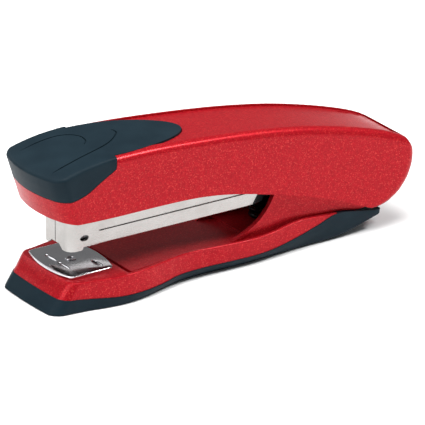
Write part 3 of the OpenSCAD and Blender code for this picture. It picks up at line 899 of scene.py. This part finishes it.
@dataclass
class Cover:
    """Lacquered cover moulding and the soft pad let into its nose."""

    lines: CaseLines
    ridge_r: float = 2.4
    lip_r: float = 1.1
    pad_depth: float = 1.5
    panel_sink: float = 0.55
    box_width: float = 28.0
    box_height: float = 20.0
    parting: float = 0.14
    crease_width: float = 0.5
    outer_tongue: tuple[Flat, ...] = (
        (4.4, -10.3), (9.0, -9.8), (14.0, -9.0), (23.6, -6.6),
        (30.1, -3.3), (34.6, 0.6), (36.4, 3.2), (36.0, 6.2),
    )
    inner_tongue: tuple[Flat, ...] = (
        (5.4, 10.4), (12.9, 10.6), (18.7, 10.2), (22.4, 8.4), (24.6, 5.2), (24.0, 1.2), (21.9, -1.1),
    )

    def law(self, x: float, y: float, z: float) -> Point:
        """Bend the straight block over the stapler's side lines.

        Args:
            x: Place along the block from its nose end.
            y: Place across it.
            z: Height in it.

        Returns:
            The place on the stapler.
        """
        lines = self.lines
        s, w, t = x / lines.length, z / self.box_height, y / (self.box_width / 2)
        top_end, low_end = lines.hinge.x + lines.tail_r * math.cos(math.radians(16)), lines.hinge.x
        low_start = lines.nose_x + lines.nose_lean * (lines.lip_z - lines.skirt_z)

        def top(u: float) -> Vector:
            """Ridge line."""
            place = lines.nose_x + u * (top_end - lines.nose_x)
            return Vector((place, lines.ridge(place)))

        def low(u: float) -> Vector:
            """Lower edge."""
            place = low_start + u * (low_end - low_start)
            return Vector((place, lines.skirt(place)))

        turn = math.radians(-90 + 106 * w)
        outward = Vector((math.cos(turn), math.sin(turn)))
        rear = Vector((lines.hinge.x, lines.hinge.z)) + lines.tail_r * outward
        front = low(0) * (1 - w) + top(0) * w
        corners = (
            low(0) * (1 - s) * (1 - w) + top(0) * (1 - s) * w + low(1) * s * (1 - w) + top(1) * s * w
        )
        spot = low(s) * (1 - w) + top(s) * w + front * (1 - s) + rear * s - corners
        bow = lines.nose_bow * t * t * max(0.0, 1 - s * lines.length / 34) ** 2
        return spot.x + bow, t * lines.cover_half_width(spot.x), spot.y

    def form(self, name: str, inset: float, drop: float, below: float, edge_r: float) -> Workpiece:
        """Make a straight solid in the cover's block, to be bent over the cover's outside afterwards.

        Args:
            name: The piece's name.
            inset: How far its sides and ends are set in.
            drop: How far its top is lowered.
            below: How far it reaches below the cover's edge.
            edge_r: Radius of its top edges.

        Returns:
            The straight solid, not yet bent.
        """
        half = self.box_width / 2 - inset
        high = self.box_height - drop
        piece = Workpiece.block(
            name, (inset, -half, -below), (self.lines.length - inset, half, high)
        )
        upright = max(3.2 - inset, 0.8)
        piece.round_edges(lambda m, d: abs(d.z) > 0.9, upright, 6)
        piece.round_edges(lambda m, d: m.z > high - 0.01, edge_r, 6)
        return piece

    def sliced(self, piece: Workpiece) -> Workpiece:
        """Slice a straight form finely and bend it."""
        piece.slice(Axis.LENGTH, spread(0, self.lines.length, 110))
        piece.slice(Axis.WIDTH, spread(-self.box_width / 2 + 3, self.box_width / 2 - 3, 14))
        piece.slice(Axis.HEIGHT, spread(0, self.box_height - 2, 15))
        return piece.bend(self.law, (60, 9, 14))

    def pad_region(self, name: str, margin: float) -> Workpiece:
        """Make the block of space that the soft pad fills.

        Args:
            name: The piece's name.
            margin: How far the region is widened.

        Returns:
            The region, wider than the cover and higher than it.
        """
        lines = self.lines
        step_x = lines.at(0.183) + margin
        edge = [
            (lines.at(-0.06), -7.7), (lines.at(0.0), -7.6), (lines.at(0.045), -7.4), (lines.at(0.09), -6.2),
            (lines.at(0.13), -3.3), (lines.at(0.16), -1.0), (lines.at(0.174), 0.0), (lines.at(0.183), 2.6),
        ]
        places = spread(edge[0][0], edge[-1][0], 26)
        side = [(x + margin, lines.lip_z - margin + smooth_line(edge, x)) for x in places]
        side += [(step_x, lines.top_z + 8), (lines.nose_x - 6, lines.top_z + 8)]
        region = Workpiece.prism(name, side, Axis.WIDTH, -30, 30)
        half = lines.cover_half_width(step_x) - 1.9 + margin
        tip = 32.2 + margin
        top = [(step_x - 2, -half)]
        for i in range(33):
            a = math.radians(-90 + 180 * i / 32)
            top.append((step_x + tip * math.cos(a), half * math.sin(a) * (1 - 0.12 * math.cos(a) ** 2)))
        top.append((step_x - 2, half))
        crown = Workpiece.prism("pad_crown", top, Axis.HEIGHT, lines.top_z - 9, lines.top_z + 7)
        return region.combine(crown, "UNION")

    def build_pad(self) -> bpy.types.Object:
        """Mould the soft pad with its rolled lip and thumb hollow.

        Returns:
            The finished pad.
        """
        pad = self.sliced(self.form("pad_skin", 0.0, 0.0, 0.0, self.lip_r))
        core = self.sliced(self.form("pad_core", self.pad_depth, self.pad_depth + 0.6, 6.0, 0.8))
        pad.combine(self.pad_region("pad_limit", 0.0), "INTERSECT")
        pad.cut(core)
        for crease in self.creases():
            pad.cut(crease)
        return pad.finish(Body.COVER, "soft_black", "thumb_pad", angle=38)

    def creases(self) -> list[Workpiece]:
        """Make the tools that cut the two nested tongues into the pad's top."""
        lines = self.lines
        floor = self.sliced(self.form("crease_floor", -0.5, 0.4, 0.0, self.lip_r))
        low, high = lines.top_z - 7, lines.top_z + 3
        tools = []
        for name, line in (("outer_tongue", self.outer_tongue), ("inner_tongue", self.inner_tongue)):
            path = [(lines.nose_x + x, y) for x, y in smooth_path(line, 6)]
            band = Workpiece.prism(name, widened(path, self.crease_width), Axis.HEIGHT, low, high)
            tools.append(band.combine(floor, "DIFFERENCE", keep=True))
        floor.scrap()
        return tools

    def build_shell(self) -> bpy.types.Object:
        """Mould the red cover: rounded ridges, sunk panel, hollow inside, open tail.

        Returns:
            The finished cover.
        """
        lines = self.lines
        straight = self.form("cover_skin", 0.0, 0.0, 0.0, self.ridge_r)
        high = self.box_height - 0.01
        straight.sink(lambda m, n: n.z > 0.9 and m.z > high, 0.3, self.panel_sink)
        shell = self.sliced(straight)
        inner = self.sliced(self.form("cover_inner", lines.cover_wall, 2.3, 6.0, 1.0))
        shell.cut(inner)
        half = lines.cover_half_width(lines.hinge.x) - lines.cover_wall
        shell.cut(
            Workpiece.block(
                "tail_gap", (lines.hinge.x, -half, -4), (lines.tail_x + 4, half, lines.hinge.z - 1.8)
            )
        )
        seat = self.pad_region("pad_seat", self.parting)
        seat.cut(self.sliced(self.form("seat_core", self.pad_depth + 0.1, self.pad_depth + 0.7, 6.0, 0.8)))
        shell.cut(seat)
        for x, length in ((lines.at(0.89), 4.6), (lines.at(0.932), 2.2)):
            for side in (-1, 1):
                y = side * (lines.cover_half_width(x) - 4.3)
                bottom = lines.ridge(x + length) - 1.4
                shell.cut(Workpiece.block("slit", (x, y - 0.25, bottom), (x + length, y + 0.25, 60)))
        return shell.finish(Body.COVER, "red_shell", "cover_shell")


# ---------------------------------------------------------------- base


@dataclass
class Base:
    """Red tray, black foot and the hinge bracket that stands in the tray."""

    lines: CaseLines
    rim_width: float = 1.6
    box_height: float = 6.5
    front_bow: float = 0.9
    lean: float = 0.72
    anvil_back: float = 17.3
    anvil_half: float = 8.9

    def undercut(self, x: float) -> float:
        """How far the foot's sides draw in towards the table at x."""
        pairs = (
            (0.0, 0.0), (0.12, 0.2), (0.22, 1.2), (0.32, 2.6),
            (0.5, 3.0), (0.65, 2.6), (0.8, 1.2), (0.9, 0.4),
        )
        return smooth_line(self.lines.base_stations(pairs), x)

    def law(
        self, low: Callable[[float], float], high: Callable[[float], float], draft: Callable[[float], float]
    ) -> Law:
        """Make the law that bends a block into a part of the base.

        Args:
            low: Height of the underside at a place.
            high: Height of the top at a place.
            draft: How far the sides draw in at the underside.

        Returns:
            The law.
        """
        lines = self.lines

        def bent(x: float, y: float, z: float) -> Point:
            """Place on the base of a point in the block."""
            t = y / 20.0
            fade = max(0.0, 1 - (x - lines.nose_x) / 26)
            place = x + self.front_bow * t * t * max(0.0, 1 - (x - lines.nose_x) / 30) ** 2
            under, over = low(place), high(place)
            height = under + (over - under) * z / self.box_height
            place += self.lean * height * fade
            half = lines.base_half_width(place) - draft(place) * max(0.0, 1 - z / self.box_height) ** 1.4
            return place, t * half, height

        return bent

    def build_tray(self) -> bpy.types.Object:
        """Mould the red tray with its rim, plateau and channel.

        Returns:
            The finished tray.
        """
        lines = self.lines
        step_x = lines.nose_x + self.anvil_back + self.anvil_half
        end_x = lines.at(0.783)
        tray = Workpiece.block("tray_skin", (lines.nose_x + 0.4, -19.6, 0), (end_x, 19.6, self.box_height))
        tray.round_edges(lambda m, d: abs(d.z) > 0.9 and m.x < 0, 4.4, 8)
        tray.slice(Axis.LENGTH, [step_x])
        rim = self.box_height - 0.01
        tray.sink(lambda m, n: n.z > 0.9 and m.x > step_x and m.z > rim, self.rim_width, 2.0)
        tray.sink(lambda m, n: n.z > 0.9 and m.x > step_x and m.z < self.box_height - 1.5, 2.8, -0.7)
        tray.round_edges(lambda m, d: m.z > rim and abs(d.z) < 0.1 and abs(m.x - step_x) > 0.1, 0.45, 4)
        tray.slice(Axis.LENGTH, spread(lines.nose_x, end_x, 90))
        tray.slice(Axis.WIDTH, spread(-17, 17, 12))
        tray.slice(Axis.HEIGHT, spread(0, self.box_height, 4))
        tray.bend(self.law(lines.part_line, lines.rim, lambda x: 0.0), (64, 9, 6))
        return tray.finish(Body.BASE, "red_shell", "base_shell")

    def build_foot(self) -> bpy.types.Object:
        """Mould the black foot that runs back into the swept-up tail.

        Returns:
            The finished foot.
        """
        lines = self.lines
        end_x = lines.at(0.908)
        foot = Workpiece.block("foot_skin", (lines.nose_x, -20, 0), (end_x, 20, self.box_height))
        foot.round_edges(lambda m, d: abs(d.z) > 0.9 and m.x < 0, 4.8, 8)
        foot.round_edges(lambda m, d: abs(d.z) > 0.9 and m.x > 0, 1.6, 4)
        foot.round_edges(lambda m, d: m.z < 0.01, 0.9, 4)
        foot.slice(Axis.LENGTH, spread(lines.nose_x, end_x, 96))
        foot.slice(Axis.WIDTH, spread(-17, 17, 12))
        foot.slice(Axis.HEIGHT, spread(0, self.box_height, 4))
        foot.bend(self.law(lines.foot_under, lines.part_line, self.undercut), (64, 9, 8))
        button_low, button_high = box_mm("anvil_button")
        middle = (button_low + button_high) / 2
        well_r = (button_high.x - button_low.x) / 2 + 0.4
        foot.cut(Workpiece.rod("button_well", (middle.x, middle.y, 0), well_r, 30, Axis.HEIGHT))
        return foot.finish(Body.BASE, "soft_black", "base_foot")

    def build_bracket(self) -> bpy.types.Object:
        """Cut the hinge bracket's cheeks and floor plate.

        Returns:
            The finished bracket.
        """
        lines = self.lines
        low, high = box_mm("hinge_bracket")
        thick, floor, pivot = 1.4, lines.floor_z, lines.hinge
        curve = [
            (0.493, 0.0), (0.538, 2.6), (0.578, 5.9), (0.606, 10.4),
            (0.614, 12.6), (0.638, 17.3), (0.708, 20.0),
        ]
        front = [(lines.at(u), floor + d) for u, d in curve]
        places = spread(front[0][0], front[-1][0], 24)
        outline = [(x, smooth_line(front, x)) for x in [front[0][0] + 0.01] + places]
        outline += arc((pivot.x, pivot.z), 6.4, 95, -15, 14)
        tail_z = pivot.z - 14.9
        outline += [(pivot.x - 1.4, pivot.z - 13.2), (pivot.x - 3.2, tail_z), (pivot.x - 7, tail_z)]
        seat = reversed(spread(lines.at(0.736), lines.at(0.78), 5))
        outline += [(x, lines.part_line(x) + 0.1) for x in seat]
        outline += [(lines.at(0.713), floor)]
        bracket = Workpiece.prism("bracket_skin", outline, Axis.WIDTH, -high.y, -high.y + thick)
        bracket.combine(Workpiece.prism("far_cheek", outline, Axis.WIDTH, high.y - thick, high.y), "UNION")
        plate = Workpiece.block(
            "bracket_plate",
            (lines.at(0.548), -high.y + 0.3, floor), (lines.at(0.698), high.y - 0.3, floor + 1.2),
        )
        bracket.combine(plate, "UNION")
        edge = [(x, smooth_line(front, x)) for x in places]
        inner = [(x + 1.5, z - 0.6) for x, z in reversed(edge)]
        for side in (-1, 1):
            reach = sorted((side * high.y, side * (high.y + 0.25)))
            bracket.combine(Workpiece.prism("rolled_edge", edge + inner, Axis.WIDTH, *reach), "UNION")
        bracket.cut(Workpiece.rod("pin_bore", (pivot.x, 0, pivot.z), 2.0, 60, Axis.WIDTH))
        bracket.soften(0.25, 2, 40)
        return bracket.finish(Body.BASE, "red_shell", "hinge_bracket")


# ---------------------------------------------------------------- magazine


@dataclass
class Magazine:
    """Folded steel housing with the strip of staples inside it."""

    lines: CaseLines
    sheet: float = 1.0
    corner_r: float = 3.0
    wire: float = 0.55

    def build_housing(self) -> bpy.types.Object:
        """Fold the plated housing: seam, guide teeth, peep holes and the pressed side panels.

        Returns:
            The finished housing.
        """
        low, high = box_mm("magazine_housing")
        front, bottom = low.x, low.z + 0.9
        half = high.y
        outside = Workpiece.block("housing_skin", (front, -half, bottom), (high.x, half, high.z))
        outside.round_edges(lambda m, d: abs(d.z) > 0.9 and m.x < 0, self.corner_r, 10)
        outside.round_edges(lambda m, d: m.z < bottom + 0.01 and m.x < high.x - 1, 0.35, 3)
        channel = Workpiece.block(
            "channel",
            (front + self.sheet, -half + self.sheet, bottom + self.sheet),
            (high.x + 9, half - self.sheet, 60),
        )
        channel.round_edges(lambda m, d: abs(d.z) > 0.9 and m.x < 0, 0.8, 4)
        guide = self.guide_lip(front, half, bottom)
        outside.combine(guide, "UNION")
        outside.cut(channel)
        rear = [
            (high.x + 5, bottom - 2), (high.x - 4.4, bottom - 2),
            (high.x - 4.4, bottom), (high.x - 3.7, bottom + 1.4),
            (high.x - 1.9, bottom + 4.2), (high.x, high.z), (high.x, high.z + 5), (high.x + 5, high.z + 5),
        ]
        outside.cut(
            Workpiece.prism("rear_trim", rear, Axis.WIDTH, -20, 20),
            Workpiece.block("seam", (front - 1, -0.16, bottom - 3), (front + 1.4, 0.16, high.z + 2)),
            Workpiece.block("exit", (front + 1, -6.5, bottom - 3), (front + 2.2, 6.5, bottom + 2)),
            self.front_notch(front, bottom),
        )
        for side in (-1, 1):
            panel = Workpiece.block(
                "panel",
                (front + 11, side * half - 0.45, bottom + 4.4),
                (high.x + 9, side * half + 0.45, bottom + 6.9),
            )
            panel.round_edges(lambda m, d: abs(d.y) > 0.9 and m.x < 0, 0.5, 4)
            hole = Workpiece.rod("peep_hole", (front + 5.7, side * half, bottom + 3.2), 1.0, 5, Axis.WIDTH)
            hole.activate()
            bpy.ops.object.mode_set(mode="EDIT")
            bpy.ops.mesh.select_all(action="SELECT")
            bpy.ops.transform.resize(
                value=(1.6, 1.0, 1.0), center_override=(front + 5.7, side * half, bottom + 3.2)
            )
            hole.done()
            outside.cut(panel, hole)
        outside.apply_modifier(
            "BEVEL", width=0.12, segments=2, limit_method="ANGLE", angle_limit=math.radians(50)
        )
        return outside.finish(Body.MAGAZINE, "nickel_steel", "magazine_housing")

    def guide_lip(self, front: float, half: float, bottom: float) -> Workpiece:
        """Make the deeper lip round the two front corners that keeps paper off the staple exit.

        Args:
            front: Front face of the housing.
            half: Its half-width.
            bottom: Its underside.

        Returns:
            The lip, ready to be joined on.
        """
        lip = Workpiece.block("guide_lip", (front, -half, bottom - 0.75), (front + 5.2, half, bottom + 1))
        lip.round_edges(lambda m, d: abs(d.z) > 0.9 and m.x < front + 1, self.corner_r, 10)
        lip.round_edges(lambda m, d: abs(d.y) > 0.9 and m.x > front + 3 and m.z < bottom, 0.7, 4)
        return lip

    def front_notch(self, front: float, bottom: float) -> Workpiece:
        """Make the tool that cuts the middle of the front up, leaving a tooth on each side."""
        notch = [(-3.9, bottom - 2), (-3.9, bottom - 0.6), (-2.2, bottom + 0.7), (2.2, bottom + 0.7),
                 (3.9, bottom - 0.6), (3.9, bottom - 2)]
        return Workpiece.prism("notch", notch, Axis.LENGTH, front - 1, front + 1.05)

    def build_staples(self) -> bpy.types.Object:
        """Bend one staple and repeat it into a strip.

        Returns:
            The finished strip.
        """
        low, high = box_mm("staple_strip")
        wire = self.wire
        pitch = wire + 0.005
        half = high.y
        outline = [
            (-half, low.z), (-half, high.z - 0.5), (-half + 0.5, high.z),
            (half - 0.5, high.z), (half, high.z - 0.5),
            (half, low.z), (half - wire, low.z), (half - wire, high.z - wire), (wire - half, high.z - wire),
            (wire - half, low.z),
        ]
        strip = Workpiece.prism("staple_wires", outline, Axis.LENGTH, low.x, low.x + wire - 0.03)
        strip.soften(0.1, 1, 50)
        count = int((high.x - low.x) / pitch)
        strip.apply_modifier(
            "ARRAY", count=count, use_relative_offset=False, use_constant_offset=True,
            constant_offset_displace=(pitch, 0, 0),
        )
        return strip.finish(Body.MAGAZINE, "staple_wire", "staple_strip")


# ---------------------------------------------------------------- anvil


@dataclass
class Anvil:
    """Chromed anvil plate with its two pairs of clinch grooves and the eyelet that holds it."""

    bow_r: float = 40.0
    corner_r: float = 1.8
    groove_x: float = 4.8

    def build_plate(self) -> bpy.types.Object:
        """Press the plate: bowed ends, rounded corners, polished grooves.

        Returns:
            The finished plate.
        """
        low, high = box_mm("anvil_plate")
        middle = (low + high) / 2
        half = (high.y - low.y) / 2
        reach = (high.x - low.x) / 2
        centre = reach - self.bow_r
        r = self.corner_r
        corner = (centre + math.sqrt((self.bow_r - r) ** 2 - (half - r) ** 2), half - r)
        lean = math.degrees(math.atan2(corner[1], corner[0] - centre))
        quarter = arc((centre, 0), self.bow_r, 0, lean, 8)[1:] + arc(corner, r, lean, 90, 6)[1:]
        right = [(x, -y) for x, y in reversed(quarter)] + [(reach, 0.0)] + quarter
        outline = [(middle.x + x, y) for x, y in right] + [(middle.x - x, y) for x, y in reversed(right)]
        plate = Workpiece.prism("anvil_skin", outline, Axis.HEIGHT, low.z, high.z)
        plate.soften(0.22, 3, 50)
        for side in (-1, 1):
            plate.cut(self.groove(middle.x - self.groove_x, side * 3.85, 3.6, 0.85, high.z))
            plate.cut(self.groove(middle.x + self.groove_x, side * 7.9, 3.0, 1.15, high.z))
        return plate.finish(Body.ANVIL, "chrome_plate", "anvil_plate")

    def groove(self, x: float, y: float, half: float, width: float, top: float) -> Workpiece:
        """Make the tool for one scooped clinch groove.

        Args:
            x: Its middle along the stapler.
            y: Its middle across it.
            half: Half its length.
            width: Half its width.
            top: Height of the plate's face.

        Returns:
            The tool: a stretched ball that dips into the plate.
        """
        deselect_all()
        bpy.ops.mesh.primitive_uv_sphere_add(
            segments=40, ring_count=20, radius=1.0, location=(x, y, top + 0.12)
        )
        tool = Workpiece("groove_tool")
        tool.object.scale = (width, half, 0.75)
        bpy.ops.object.transform_apply(location=True, rotation=True, scale=True)
        return tool

    def build_eyelet(self) -> bpy.types.Object:
        """Peen the eyelet: a rolled ring with a dished middle.

        Returns:
            The finished eyelet.
        """
        low, high = box_mm("anvil_rivet")
        middle = (low + high) / 2
        ring = Workpiece.rod("eyelet", (middle.x, middle.y, middle.z), 1.8, high.z - low.z, Axis.HEIGHT)
        ring.cut(Workpiece.rod("eyelet_hole", (middle.x, middle.y, middle.z), 0.95, 4, Axis.HEIGHT))
        ring.soften(0.16, 3, 50)
        return ring.finish(Body.ANVIL, "chrome_plate", "anvil_rivet")


# ---------------------------------------------------------------- setting


@dataclass
class Setting:
    """Pale floor, soft lights and the camera."""

    azimuth: float = -33.4
    elevation: float = 22.5
    camera_mm: Point = (-969.28, -1470.63, 744.07)
    lens: float = 508.2
    floor_m: float = 12.0
    lights: list[tuple[str, Point, float, float]] = field(
        default_factory=lambda: [
            ("overhead_softbox", (-0.25, -0.12, 1.5), 1.1, 31.0),
            ("back_softbox", (-0.3, 1.0, 0.75), 0.8, 3.0),
            ("ridge_strip", (0.55, -0.4, 0.85), 0.22, 6.5),
            ("left_softbox", (-1.2, 0.1, 0.6), 0.7, 5.0),
        ]
    )

    def build(self) -> None:
        """Set the floor, the lights, the surround and the camera."""
        deselect_all()
        bpy.ops.mesh.primitive_plane_add(size=self.floor_m, location=(0.0, 0.0, 0.0))
        floor = bpy.context.object
        floor.name = "floor"
        dress(floor, PaleSurface("pale_board", "#f6f6f6", 0.9, grain_mm=2.0, grain_depth_mm=0.01).build())
        for name, place, size, power in self.lights:
            deselect_all()
            bpy.ops.object.light_add(type="AREA", location=place)
            lamp = bpy.context.object
            lamp.name = name
            lamp.data.size = size
            lamp.data.energy = power
            lamp.rotation_euler = (-Vector(place)).to_track_quat("-Z", "Y").to_euler()
        world = bpy.data.worlds.new("studio_surround")
        world.use_nodes = True
        world.node_tree.nodes["Background"].inputs["Color"].default_value = linear("#ffffff")
        world.node_tree.nodes["Background"].inputs["Strength"].default_value = 0.2
        bpy.context.scene.world = world
        bpy.context.scene.view_settings.view_transform = "Standard"
        deselect_all()
        bpy.ops.object.camera_add(location=Vector(self.camera_mm) * MM)
        camera = bpy.context.object
        camera.rotation_euler = (math.radians(90 - self.elevation), 0.0, math.radians(self.azimuth))
        camera.data.lens = self.lens
        camera.data.sensor_width = 36.0
        camera.data.clip_end = 20.0
        bpy.context.scene.camera = camera


def main() -> None:
    """Build the stapler piece by piece, dress it and light it."""
    logging.basicConfig(level=logging.INFO, format="%(name)s: %(message)s")
    lines = read_lines()
    materials = {slot: finish.build() for slot, finish in FINISHES.items()}
    slots = {part["node"]: part["material_slot"] for part in frame["record"]["subparts"]}
    for name, thing in frame["nodes"].items():
        dress(thing, materials[slots[name]])

    cover, base, magazine, anvil = Cover(lines), Base(lines), Magazine(lines), Anvil()
    steps: list[tuple[str, Callable[[], bpy.types.Object]]] = [
        ("soft_black", cover.build_pad),
        ("red_shell", cover.build_shell),
        ("red_shell", base.build_tray),
        ("soft_black", base.build_foot),
        ("red_shell", base.build_bracket),
        ("nickel_steel", magazine.build_housing),
        ("staple_wire", magazine.build_staples),
        ("chrome_plate", anvil.build_plate),
        ("chrome_plate", anvil.build_eyelet),
    ]
    for slot, step in steps:
        dress(step(), materials[slot])
    Setting().build()


if __name__ == "__main__":
    main()
